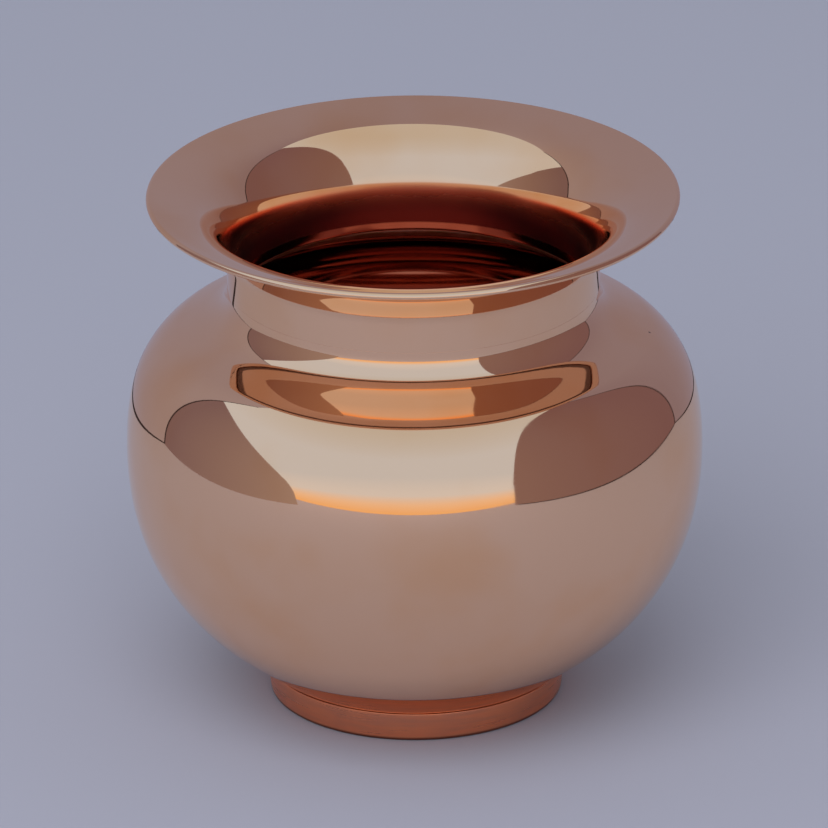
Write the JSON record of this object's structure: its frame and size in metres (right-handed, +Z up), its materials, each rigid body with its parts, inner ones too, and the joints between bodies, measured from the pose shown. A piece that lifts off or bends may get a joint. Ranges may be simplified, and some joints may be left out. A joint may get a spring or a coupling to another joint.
{
  "type": "lota",
  "caption": "Small round-bellied copper water pot with a narrow neck, a wide flared mouth and a ring foot, for holding and pouring water by hand.",
  "frame": {"origin": "centre of the foot's flat resting face", "axes": "+Z up along the pot's axis, towards the mouth"},
  "size_m": [0.11, 0.11, 0.1014],
  "materials": {
    "polished_copper": "mirror polished outside, dull inside",
    "satin_copper": "satin, with fine turning lines",
    "brazing_metal": "matt"
  },
  "bodies": {
    "root": {"bowl": "polished_copper", "neck_and_rim": "polished_copper", "foot_ring": "satin_copper", "neck_braze": "brazing_metal", "foot_braze": "brazing_metal"}
  },
  "joints": []
}
